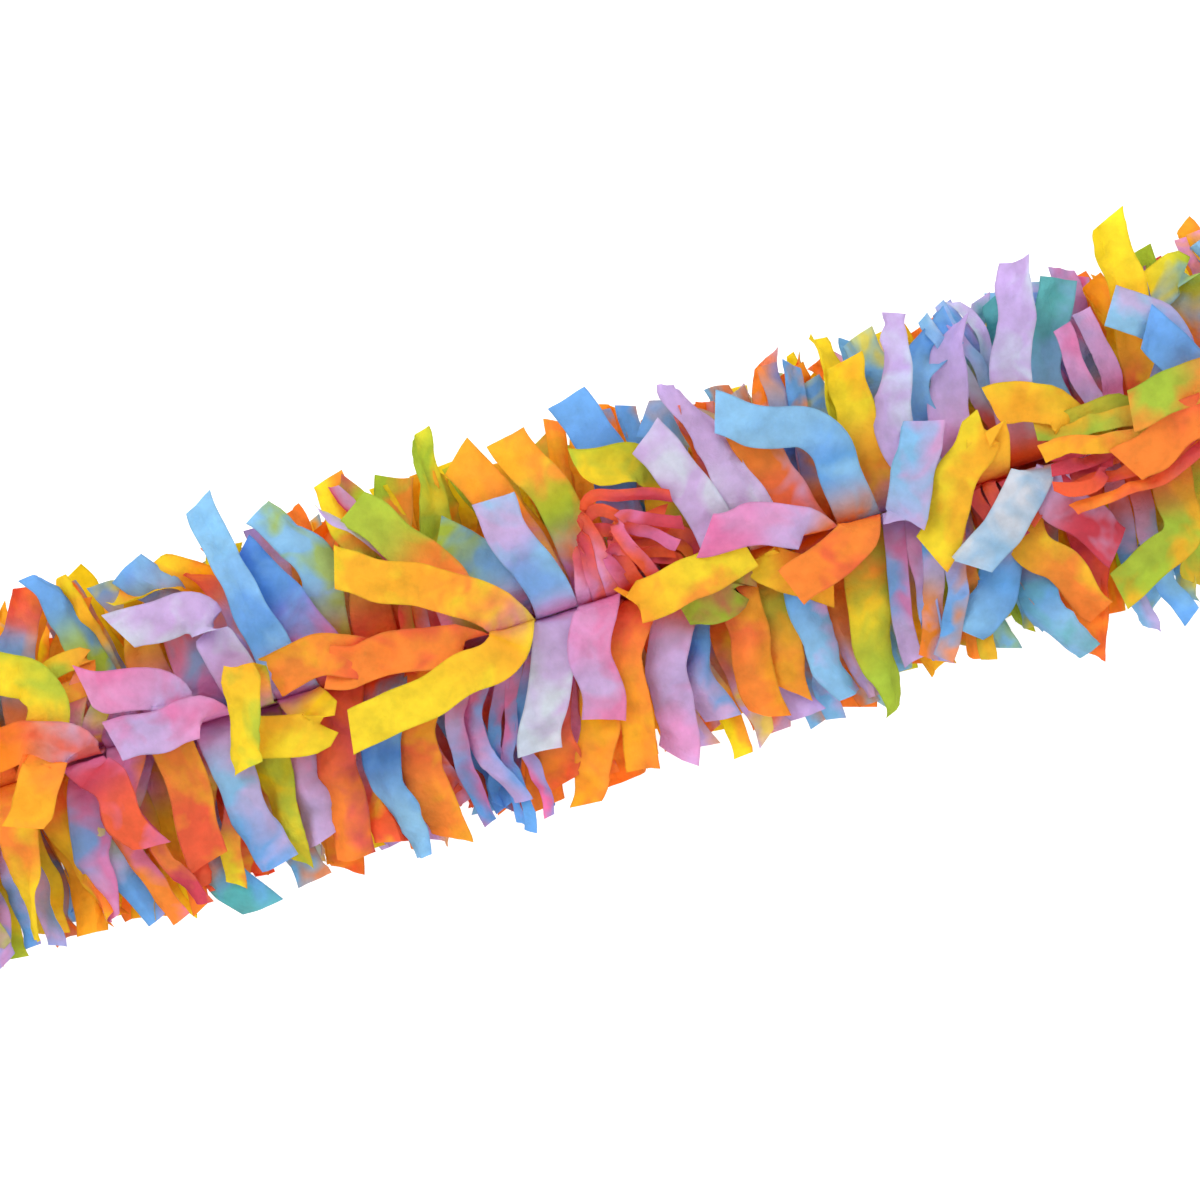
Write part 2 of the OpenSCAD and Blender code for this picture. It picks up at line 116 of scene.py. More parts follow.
# Strips laid over the top: slot, place beside the parting, dyes (at the tip, at the elbow and run
# in at one side), elbow, tip, roll
LAID = [
    (-15, -1, "GGO", (-278, -30, 64), (-284, -64, 60), 10),
    (-14, 1, "OOR", (-262, 22, 66), (-273, 56, 60), 10),
    (-14, -1, "YOY", (-257, -26, 68), (-266, -65, 60), 10),
    (-13, 1, "YYV", (-226, 34, 75), (-258, 53, 73), 0),
    (-13, 2, "RBO", (-238, 48, 63), (-229, 77, 60), 50),
    (-13, -1, "GOO", (-232, 8, 85), (-253, -19, 82), 0),
    (-12, 1, "OLR", (-222, 9, 77), (-268, 18, 75), 0),
    (-12, 2, "YOV", (-204, 35, 69), (-232, 33, 68), 10),
    (-12, -1, "RKM", (-214, -12, 80), (-206, -42, 76), 20),
    (-12, -2, "PBM", (-234, -34, 62), (-232, -66, 56), 10),
    (-11, 1, "BVB", (-208, 40, 61), (-217, 79, 60), 40),
    (-11, -1, "OKM", (-216, -26, 67), (-199, -73, 61), 40),
    (-11, -2, "BYL", (-224, -34, 60), (-211, -71, 54), 0),
    (-10, 1, "PLM", (-178, 18, 76), (-213, 26, 74), 0),
    (-10, -1, "ROG", (-185, -12, 70), (-188, -56, 62), 0),
    (-10, -2, "TRB", (-186, -50, 56), (-173, -81, 52), 15),
    (-9, 1, "LPM", (-172, 3, 80), (-208, 5, 78), 0),
    (-9, 2, "BRC", (-169, 50, 62), (-188, 66, 59), 0),
    (-9, -1, "BCL", (-166, -24, 71), (-157, -66, 65), 30),
    (-9, -2, "RYK", (-175, -34, 64), (-184, -66, 60), 0),
    (-8, 1, "LLW", (-158, 46, 77), (-195, 46, 75), 0),
    (-8, 2, "YGO", (-154, 58, 60), (-190, 68, 57), 10),
    (-8, -1, "YGV", (-147, 22, 87), (-158, -23, 84), 40),
    (-8, -2, "YYV", (-150, -30, 64), (-147, -66, 59), 50),
    (-7, 1, "CBC", (-139, 42, 76), (-154, 87, 67), 20),
    (-7, 2, "RLO", (-143, 34, 66), (-160, 62, 64), 10),
    (-7, -1, "YYG", (-122, -16, 77), (-161, -12, 75), 0),
    (-7, -2, "LPL", (-139, -28, 63), (-138, -63, 57), 10),
    (-6, 1, "DMB", (-118, 24, 70), (-137, 60, 67), 0),
    (-6, 2, "CCV", (-107, 50, 64), (-115, 79, 58), 10),
    (-6, -1, "ORK", (-124, -30, 68), (-122, -73, 60), 20),
    (-5, 1, "ORG", (-104, 9, 77), (-139, 13, 75), 0),
    (-5, 2, "YVO", (-86, 50, 62), (-89, 81, 59), 15),
    (-5, -1, "CDB", (-106, -38, 66), (-103, -79, 58), 10),
    (-4, 1, "LKV", (-70, 40, 67), (-94, 75, 67), 45),
    (-4, 2, "VVO", (-75, 46, 57), (-76, 72, 54), 0),
    (-4, -1, "ORG", (-92, -38, 66), (-85, -76, 58), 20),
    (-3, 1, "VOV", (-58, 33, 76), (-86, 67, 75), 0),
    (-3, 2, "VVY", (-56, 46, 58), (-54, 87, 55), 45),
    (-3, -1, "OOR", (-62, -1, 79), (-115, 8, 77), 0),
    (-3, -2, "BLM", (-72, -36, 66), (-63, -72, 58), 30),
    (-2, 1, "GOY", (-46, 15, 82), (-99, 43, 79), 0),
    (-2, 2, "VCB", (-34, 24, 69), (-56, 45, 65), 0),
    (-2, -1, "YGY", (-46, -11, 83), (-115, -20, 80), 0),
    (-2, -2, "BBM", (-54, -42, 63), (-54, -80, 56), 35),
    (-1, 1, "LBC", (-20, 18, 76), (-31, 53, 70), 0),
    (-1, 2, "GOG", (-27, 48, 64), (-31, 75, 58), 15),
    (-1, -1, "WLL", (-22, -8, 73), (-42, -53, 67), 0),
    (-1, -2, "OMR", (-34, -38, 60), (-38, -70, 54), 15),
    (0, 1, "RRK", (2, 36, 75), (36, 26, 74), 30),
    (0, 2, "GVO", (-5, 48, 63), (-16, 77, 58), 10),
    (0, -1, "LPM", (-8, -12, 76), (-12, -48, 70), 0),
    (0, -2, "GGO", (-16, -48, 63), (-25, -81, 58), 0),
    (1, 1, "RMK", (10, 27, 77), (38, 16, 75), 35),
    (1, 2, "BDB", (21, 56, 62), (9, 83, 57), 20),
    (1, -1, "YGO", (9, -7, 82), (63, 1, 80), 0),
    (1, -2, "GRO", (2, -20, 73), (4, -73, 67), 30),
    (2, 1, "KRO", (44, 10, 67), (11, 20, 68), 25),
    (2, 2, "YYV", (36, 48, 62), (10, 52, 71), 25),
    (2, -1, "LLP", (20, -28, 67), (18, -73, 60), 20),
    (2, -2, "LDB", (28, -32, 57), (29, -62, 53), 25),
    (3, 1, "LLW", (53, 18, 80), (38, 60, 72), 0),
    (3, 2, "OOM", (60, 42, 66), (58, 69, 62), 38),
    (3, -1, "VVK", (54, -16, 71), (29, -12, 69), 10),
    (3, -2, "ORG", (54, -28, 65), (46, -63, 58), 0),
    (4, 1, "LWL", (69, 25, 77), (61, 76, 68), 0),
    (4, 2, "BYO", (62, 52, 58), (42, 71, 54), 20),
    (4, -1, "GYO", (64, -3, 73), (94, -22, 71), 15),
    (4, -2, "OVG", (69, -30, 59), (62, -60, 54), 20),
    (5, 1, "ORL", (85, 18, 73), (78, 56, 70), 10),
    (5, 2, "OBD", (96, 46, 65), (101, 72, 61), 20),
    (5, -1, "MLP", (82, 6, 87), (50, 14, 85), 0),
    (5, -2, "CBP", (79, -26, 68), (91, -67, 61), 0),
    (6, 1, "CBC", (107, 38, 80), (68, 60, 77), 0),
    (6, 2, "BDY", (108, 34, 60), (107, 60, 56), 0),
    (6, -1, "OOR", (105, -9, 84), (78, -19, 81), 0),
    (6, -2, "VYV", (102, -44, 62), (107, -81, 56), 0),
    (7, 1, "YOG", (121, 24, 69), (128, 64, 63), 15),
    (7, 2, "YVY", (121, 38, 66), (115, 77, 59), 35),
    (7, -1, "CLP", (126, -11, 80), (149, 31, 78), 0),
    (7, -2, "LBM", (124, -30, 65), (121, -64, 58), 10),
    (8, 1, "LLW", (133, 30, 75), (147, 76, 67), 0),
    (8, 2, "BBC", (147, 46, 65), (166, 72, 59), 0),
    (8, -1, "OBL", (139, -30, 69), (127, -64, 62), 15),
    (8, -2, "GVO", (144, -38, 58), (145, -70, 54), 20),
    (9, 1, "YYG", (174, 25, 79), (135, -22, 76), 0),
    (9, 2, "LPL", (157, 24, 68), (173, 67, 62), 0),
    (9, -1, "KKR", (165, -3, 73), (174, -26, 71), 10),
    (9, -2, "CBB", (162, -44, 66), (140, -58, 64), 0),
    (10, 1, "LLW", (187, 30, 68), (203, 84, 60), 0),
    (10, 2, "CLW", (178, 44, 58), (171, 74, 54), 30),
    (10, -1, "WWC", (184, -5, 77), (153, -33, 75), 0),
    (10, -2, "OGY", (173, -25, 66), (198, -64, 62), 0),
    (10, -3, "CBT", (171, -54, 58), (177, -84, 53), 0),
    (11, 1, "GGY", (209, 20, 73), (177, 26, 72), 20),
    (11, 2, "TCC", (201, 30, 63), (215, 73, 58), 15),
    (11, -1, "KLL", (187, -9, 73), (210, -43, 70), 0),
    (11, -2, "OKR", (196, -56, 58), (190, -81, 54), 30),
    (12, 1, "GVV", (230, 8, 75), (203, 10, 73), 10),
    (12, 2, "PLM", (224, 26, 66), (219, 52, 64), 15),
    (12, -1, "RKK", (214, -8, 81), (191, -4, 80), 30),
    (12, -2, "CBL", (219, -54, 58), (221, -81, 54), 25),
    (13, 1, "CBL", (260, 34, 79), (236, 54, 77), 0),
    (13, 2, "YGY", (244, 48, 66), (251, 87, 59), 10),
    (13, -1, "GVO", (240, 2, 83), (190, 8, 81), 30),
    (13, -2, "VVG", (238, -46, 67), (208, -64, 64), 0),
    (14, 1, "BOB", (261, 17, 82), (247, 41, 80), 10),
    (14, 2, "YVB", (272, 62, 64), (254, 57, 66), 10),
    (14, -1, "KRO", (246, -13, 81), (196, -13, 79), 30),
    (14, -2, "VVG", (252, -34, 60), (246, -68, 55), 0),
    (15, -1, "ORO", (262, 2, 88), (221, -12, 86), 0),
    (16, -1, "VRO", (270, 14, 91), (230, 9, 89), 0),
]
# Loose strips that lie without a wander of their own, as slot and place
STILL = {
    (-15, -2), (-15, 1), (-13, 3), (-12, 3), (-11, -3), (-11, 2), (-11, 4), (-10, -3), (-5, -3),
    (-5, 3), (1, 3), (3, -4), (4, -4), (5, -4), (5, 4), (6, -3), (9, 3), (10, 3), (11, 4), (14, 4),
}
# Laid strips that are folded narrow along their length, as slot, place and degrees
PINCHED = {
    (-13, 2): 55, (-12, -1): 35, (-8, -2): 50, (-3, 2): 50, (-5, 2): 55, (-4, 2): 40, (-7, 1): 66,
    (11, -2): 62, (-9, -2): 45, (3, 2): 35,
}
# Laid strips that are slit again into narrower ribbons, as slot, place and number of ribbons
SLIT = {
    (0, 1): 3, (1, 1): 3, (2, 1): 3, (12, -1): 3, (13, -1): 2, (14, -1): 3, (9, -1): 3, (-4, 1): 3,
    (-3, -2): 2, (-2, -2): 3, (12, -2): 2, (10, 2): 3, (-11, -1): 2, (7, -2): 2, (8, -1): 2,
    (8, -2): 2, (-12, 2): 2, (-9, -2): 2, (5, 2): 2, (12, 2): 2,
}
# Dyes of the loose strips that show at the far and near edges, up to each X
FAR_DYES = [
    (-262, "LYBRPG"), (-225, "BYOG"), (-185, "GYOB"), (-140, "OYBG"), (-95, "COLG"),
    (-45, "VYOG"), (5, "GYOV"), (45, "BGOY"), (95, "LYOC"), (125, "YVGO"), (190, "LCYO"),
    (225, "LCTM"), (262, "YGVO"), (999, "PYBGCR"),
]
NEAR_DYES = [
    (-262, "VPYOBL"), (-225, "YOBG"), (-190, "CYOG"), (-140, "GCRO"), (-85, "YLROG"),
    (-30, "COBR"), (15, "GOPO"), (55, "GOYL"), (95, "LOOC"), (130, "CYGV"), (170, "VYCO"),
    (215, "COYG"), (262, "VYCG"), (999, "MBYOVL"),
]


def sin(degrees):
    return math.sin(math.radians(degrees))


def cos(degrees):
    return math.cos(math.radians(degrees))


def asin(value):
    return math.degrees(math.asin(max(-1.0, min(1.0, value))))


def dice(a, b):
    """A repeatable number from 0 to 1 for each pair of whole numbers."""
    s = sin(a * 127.1 + b * 311.7) * 43758.5453
    return s - math.floor(s)


def spread(a, b):
    return 2 * dice(a, b) - 1


def unit(v):
    return v / np.linalg.norm(v)


def square_to(v, t):
    return unit(v - (v @ t) * t)


def strip_x(k):
    return (k + 0.5) * STRIP_W - FRINGE_LEN / 2


def turn(x):
    return 90 + TWIST * (x + 14) / STRIP_W


def stack_v(sheet):
    """A sheet's height in the stack, measured from the string's centre."""
    p = sheet - (SHEETS - 1) / 2
    lift = STRING_D / 2 + CORE_GAP + SHEET_T / 2 + (abs(p) - 0.5) * (SHEET_T + CORE_GAP)
    return math.copysign(lift, p)


def on_band(sheet, x, u):
    """A point of a sheet's uncut middle band, u to the side of its centre line."""
    a, v = turn(x), stack_v(sheet)
    return np.array([x, u * cos(a) - v * sin(a), CORE_H + u * sin(a) + v * cos(a)])


def heading(sheet, edge, k):
    """Direction in which a strip leaves the core, in degrees from +Y."""
    fan = (sheet - (SHEETS - 1) / 2) * SECTOR
    a = turn(strip_x(k))
    return a + fan if edge == 0 else a + 180 - fan


def place(sheet, edge, k):
    """1, 2, 3 and so on to one side of the parting and -1, -2, -3 to the other."""
    a = heading(sheet, edge, k) + 90
    b = a - 360 * math.floor(a / 360) - 180
    return math.floor(-b / SECTOR) + 1 if b <= 0 else -math.floor(b / SECTOR) - 1


def elevation(up, r):
    """The fringe is pressed flatter further out, and turns aside where it meets the table."""
    if up >= 0:
        return up / 90 * (14 + 76 * math.exp(-max(0, r - ROOT_R) / 20))
    return max(-1, up / 80) * (90 if r <= CORE_H else asin((CORE_H - SHEET_T / 2) / r))


def calm(up):
    """Strips that point down lean, roll and wander less."""
    return min(1, max(0, 1 + (up + 15) / 35))


def loose_ring(a, k, r, curl, shift):
    up, aside = asin(sin(a)), 1 if cos(a) >= 0 else -1
    e = elevation(up, r) + (curl if up > -60 else 0) * r / REACH
    along = LEAN * (0.65 * sin(360 * strip_x(k) / PINCH + 2 * a) + 0.35 * sin(3 * a + 40))
    x = strip_x(k) + (along + shift) * calm(up) * (r / REACH) ** 1.5
    return np.array([x, aside * r * cos(e), CORE_H + r * sin(e)])


def loose_path(sheet, edge, k, seed, still):
    a = heading(sheet, edge, k)
    up = asin(sin(a))
    free = 0 if still else 1
    curl, shift = 3 * free * spread(seed, 1), 5 * free * spread(seed, 2)
    bend = REACH / 2 + (CORE_H + 4 - REACH / 2) * min(1, max(0, (-up - 50) / 30))
    tip = REACH * (1 - 0.16 * dice(seed, 3))
    return [loose_ring(a, k, r, curl, shift) for r in (ROOT_R, bend, tip)]


def strip_line(sheet, edge, k):
    """Centres and width directions of one strip, root first, and what is needed to dye it."""
    slot, where = k - (STRIPS - 1) // 2, place(sheet, edge, k)
    row = next((r for r in LAID if r[:2] == (slot, where)), None)
    still = (slot, where) in STILL
    seed = sheet * 97 + edge * 53 + k + 1000 * SCATTER
    up = asin(sin(heading(sheet, edge, k)))
    side = 1 if edge == 0 else -1
    a = turn(strip_x(k))
    start = np.array([strip_x(k), 0, CORE_H]) + BAND_W / 2 * side * np.array([0, cos(a), sin(a)])
    if row:
        elbow, tip = np.array(row[3], float), np.array(row[4], float)
        apart = NEXT_TO_PARTING if abs(where) == 1 else FURTHER_OUT
        path = [np.array([strip_x(k), apart * elbow[1], elbow[2] - 4]), elbow, tip]
        roll = row[5]
    else:
        path = loose_path(sheet, edge, k, seed, still)
        roll = 0 if still else 30 * calm(up) * spread(seed, 4)
    t1, t2 = unit(path[0] - start), unit(path[2] - path[1])
    w1 = square_to(np.array([1.0, 0, 0]), t1)
    if row:
        level = unit(np.cross([0, 0, 1], t2))
        w2 = level if level @ w1 >= 0 else -level
    else:
        w2 = square_to(w1, t2)
    wide = [np.array([1.0, 0, 0]), w1]
    wide += [w2 * cos(r) + np.cross(t2, w2) * sin(r) for r in (0.6 * roll, roll)]
    root = on_band(sheet, strip_x(k), side * (BAND_W / 2 - 0.6))
    return [root] + path, wide, row, seed, up, side


def linear(code):
    """An sRGB hex colour as linear red, green, blue and alpha."""
    parts = [int(code[i:i + 2], 16) / 255 for i in (1, 3, 5)]
    return [c / 12.92 if c <= 0.04045 else ((c + 0.055) / 1.055) ** 2.4 for c in parts] + [1.0]


def rounded(points, wide, ease):
    """The path with each inner corner eased: points, width directions, shares of its length."""
    lengths = [np.linalg.norm(b - a) for a, b in zip(points, points[1:])]
    total, out, run = sum(lengths), [], 0
    for i, length in enumerate(lengths):
        cuts = [0.0] if i == 0 else [min(ease / length, 0.4)]
        cuts.append(1.0 if i == len(lengths) - 1 else 1 - min(ease / length, 0.4))
        if length > 30:
            cuts.insert(1, 0.5)
        for f in cuts:
            out.append((points[i] * (1 - f) + points[i + 1] * f,
                        unit(wide[i] * (1 - f) + wide[i + 1] * f), (run + f * length) / total))
        run += length
    return out


def dyes_of(row, seed, x, y):
    """The three dyes of a strip, as letters: at its tip, at its elbow, and run in from one side."""
    if row:
        return row[2]
    letters = next(d for limit, d in (FAR_DYES if y > 0 else NEAR_DYES) if x < limit)
    return [letters[int(dice(seed, i) * len(letters))] for i in (5, 15, 16)]


# The core's colour at X: partly dye, partly painted shade of the deep core
def core_dye_and_shade(x):
    return next(d for limit, d in CORE_DYES_AND_SHADE if x < limit)


def dye_at(dyes, share, elbow, seed):
    """Linear colour along a strip, from the colour of the core, partly painted shade, through the
    strip's own two. elbow is the share of its length at which it bends."""
    share = min(1, max(0, share + 0.06 * spread(seed, 6)))
    marks = [0, 0.5 * elbow, 0.8 * elbow, elbow, elbow + 0.45 * (1 - elbow), 1]
    tip, middle, core = dyes[0], dyes[1], dyes[3]
    shades = [np.array(linear(DYES[d])) for d in (core, core, middle, middle, tip, tip)]
    return [float(np.interp(share, marks, [shade[i] for shade in shades])) for i in range(4)]


def ribbon_line(points, wide, dyes, row, seed, up, outer, fold, part, parts):
    """One ribbon of a strip, or the whole strip where it isn't slit again."""
    seed += 7919 * part
    place_ = (part + 0.5) / parts - 0.5
    dyes = [dyes[(i + part) % 3] for i in range(3)] + dyes[3:]
    # Some strips at the edge of the fringe turn on edge towards their tips
    twirl = 75 * spread(seed, 11) if outer and dice(seed, 12) < 0.45 else 12 * spread(seed, 11)
    bend = (9 if outer else 2) * spread(seed, 13)
    if up < -45:
        fold, twirl, bend = 0.4 * fold, 0, 0.5 * bend
    if parts > 1:
        fold, twirl, bend = 25 * dice(seed, 19), twirl / 2, bend / 2
    line, eased = [], rounded(points, wide, ELBOW_EASE)
    lengths = [np.linalg.norm(b - a) for a, b in zip(points, points[1:])]
    elbow = 1 - lengths[-1] / sum(lengths)
    for i, (at, across, share) in enumerate(eased):
        free = min(1, max(0, (share - 0.15) / 0.5)) * (0.65 if row else 1)
        far = max(0, (share - 0.45) / 0.55)
        full = 1 + (STRIP_W / (STRIP_W - CUT) - 1) * max(0, 1 - share / 0.45)
        ahead = unit(eased[min(i + 1, len(eased) - 1)][0] - eased[max(i - 1, 0)][0])
        normal = np.cross(ahead, across)
        turned = across * cos(twirl * far) + normal * sin(twirl * far)
        aside = place_ * (full * (STRIP_W - CUT) + 8 * far) + bend * far ** 2
        raised = 2.5 * spread(seed, 20) * far if parts > 1 else 0
        line.append(dict(
            at=at + across * aside + normal * raised, across=turned, wide=full / parts,
            dye=dye_at(dyes, share, elbow, seed), bleed=linear(DYES[dyes[2]]), loosen=free,
            fold=math.radians(fold) * free * (1 if dice(seed, 8) > 0.3 else -1),
            fold_at=0.5 * spread(seed, 9), cup=0.5 * spread(seed, 10) * free,
            skew=0.5 * spread(seed, 14) if i == len(eased) - 1 else 0.0, number=seed % 997))
    return line


def sheet_paths(sheet):
    """All the paths of one sheet: its uncut band, and the strips on both edges of the band."""
    paths = []
    steps = 2 * STRIPS + 4
    half = FRINGE_LEN / 2 + TAB_LEN
    band = []
    for i in range(steps + 1):
        x = -half + 2 * half * i / steps
        a = turn(x)
        # The uncut band takes the core's colour, which is partly painted shade
        band.append(dict(at=on_band(sheet, x, 0), across=np.array([0, cos(a), sin(a)]),
                         wide=BAND_W / (STRIP_W - CUT), dye=linear(DYES[core_dye_and_shade(x)]),
                         bleed=linear(DYES["M"]), loosen=0.0, fold=0.0, fold_at=0.0, cup=0.0,
                         skew=0.0, number=sheet))
    paths.append(band)
    for edge in (0, 1):
        for k in range(STRIPS):
            points, wide, row, seed, up, side = strip_line(sheet, edge, k)
            dyes = list(dyes_of(row, seed, points[-1][0], points[-1][1]))
            # Each strip's root takes the core's colour, which is partly painted shade
            dyes.append(core_dye_and_shade(strip_x(k)))
            outer = row is None or abs(row[4][1]) > 60
            fold = (12 + 30 * dice(seed, 7)) if outer else 18 * dice(seed, 7)
            if row is None:
                fold += 30 * dice(seed, 17) * (1 if points[-1][1] > 0 else 0.5)
            fold = PINCHED.get(row[:2], fold) if row else fold
            parts = SLIT.get(row[:2], 1) if row else (2 if dice(seed, 18) < 0.3 else 1)
            for part in range(parts):
                paths.append(ribbon_line(points, wide, dyes, row, seed, up, outer, fold, part,
                                         parts))
    return paths


def plied(points, plies, offset, lay):
    """Paths of the plies that are twisted together along points."""
    points = np.array(points, float)
    ahead = np.gradient(points, axis=0)
    side, run, out = np.array([0.0, 0.3, 1.0]), 0.0, [[] for _ in range(plies)]
    for i, at in enumerate(points):
        t = unit(ahead[i])
        side = square_to(side, t)
        run += np.linalg.norm(at - points[i - 1]) if i else 0
        for j, ply in enumerate(out):
            a = 360 * (run / lay + j / plies)
            ply.append(dict(at=at + offset * (side * cos(a) + np.cross(t, side) * sin(a))))
    return out


def knot(at, size):
    """A round knot drawn tight, its axis along X."""
    turn_by = range(0, 361, 6)
    return [np.array(at) + size * np.array([0.9 * sin(3 * t), (2 + cos(3 * t)) * cos(2 * t),
                                            (2 + cos(3 * t)) * sin(2 * t)]) for t in turn_by]


def string_paths():
    """Three plies of string from tail to tail, and the knot at each end."""
    half = FRINGE_LEN / 2 + TAB_LEN + KNOT_R
    end = half + KNOT_R
    steps = round(2 * end)
    run = [np.array([-end + 2 * end * i / steps, 0, CORE_H]) for i in range(steps + 1)]
    droop = [np.array([end + d, 0, CORE_H - 0.25 * d ** 1.6]) for d in (1.0, 2.0, 3.0, 4.0)]
    run = [p * (-1, 1, 1) for p in reversed(droop)] + run + droop
    size = (KNOT_R - STRING_D / 2) / 3
    paths = plied(run, 3, 0.23 * STRING_D, 6)
    for x in (-half, half):
        paths += plied(knot((x, 0, CORE_H), size), 3, 0.23 * STRING_D, 6)
    return paths


def tie_paths(x):
    """Two plies of thread: the turns round the tabs, the knot on top, and the two tails."""
    stack_half = STRING_D / 2 + 3 * (SHEET_T + CORE_GAP)
    radius = math.hypot(BAND_W / 2, stack_half) + 0.1 + TIE_D / 2
    pitch, turns = 0.9 * TIE_D, TIE_TURNS / 2
    steps = 30 * TIE_TURNS
    coil = []
    for i in range(steps + 1):
        share = 2 * i / steps - 1
        a = 90 + 360 * turns * share
        coil.append(np.array([x + pitch * (turns - 0.5) * share, radius * cos(a),
                              CORE_H + radius * sin(a)]))
    top = np.array([x, 0, CORE_H + radius + 0.9 * TIE_D])
    offset = PLY_OFFSET * TIE_D
    paths = plied(coil, 2, offset, PLY_LAY) + plied(knot(top, 0.35 * TIE_D), 2, offset, PLY_LAY)
    for aside in (-1, 1):
        tail = [top + np.array([aside * 0.35 * d, aside * (0.8 * d), 0.4 - 0.075 * d * d])
                for d in np.arange(0, 8.1, 0.8)]
        paths += plied(tail, 2, offset, PLY_LAY)
    return paths


def path_mesh(name, paths):
    """The paths as a mesh of edges in metres, with each point's sizes and dye as attributes."""
    points = [p for path in paths for p in path]
    edges, n = [], 0
    for path in paths:
        edges += [(n + i, n + i + 1) for i in range(len(path) - 1)]
        n += len(path)
    mesh = bpy.data.meshes.new(name)
    mesh.from_pydata([tuple(p["at"] * MM) for p in points], edges, [])
    if "across" not in points[0]:
        return mesh
    for key in ("wide", "loosen", "fold", "fold_at", "cup", "skew", "number"):
        layer = mesh.attributes.new(key, "FLOAT", "POINT")
        layer.data.foreach_set("value", [float(p[key]) for p in points])
    layer = mesh.attributes.new("across", "FLOAT_VECTOR", "POINT")
    layer.data.foreach_set("vector", np.array([p["across"] for p in points], float).ravel())
    for key in ("dye", "bleed"):
        layer = mesh.attributes.new(key, "FLOAT_COLOR", "POINT")
        layer.data.foreach_set("color", np.array([p[key] for p in points], float).ravel())
    return mesh


def add(tree, kind, feeds=None, **settings):
    """Adds a node. feeds maps an input's name or number to a value or to another node's output."""
    node = tree.nodes.new(kind)
    for name, value in settings.items():
        setattr(node, name, value)
    for key, value in (feeds or {}).items():
        if isinstance(value, bpy.types.NodeSocket):
            tree.links.new(value, node.inputs[key])
        else:
            node.inputs[key].default_value = value
    return node


def new_tree(name, sizes):
    """A Geometry Nodes tree with the named inputs in sizes. Gives the tree and its two ends."""
    tree = bpy.data.node_groups.new(name, "GeometryNodeTree")
    face = tree.interface
    face.new_socket("Paths", in_out="INPUT", socket_type="NodeSocketGeometry")
    for label, kind in sizes:
        face.new_socket(label, in_out="INPUT", socket_type=kind)
    face.new_socket("Piece", in_out="OUTPUT", socket_type="NodeSocketGeometry")
    return tree, add(tree, "NodeGroupInput"), add(tree, "NodeGroupOutput")


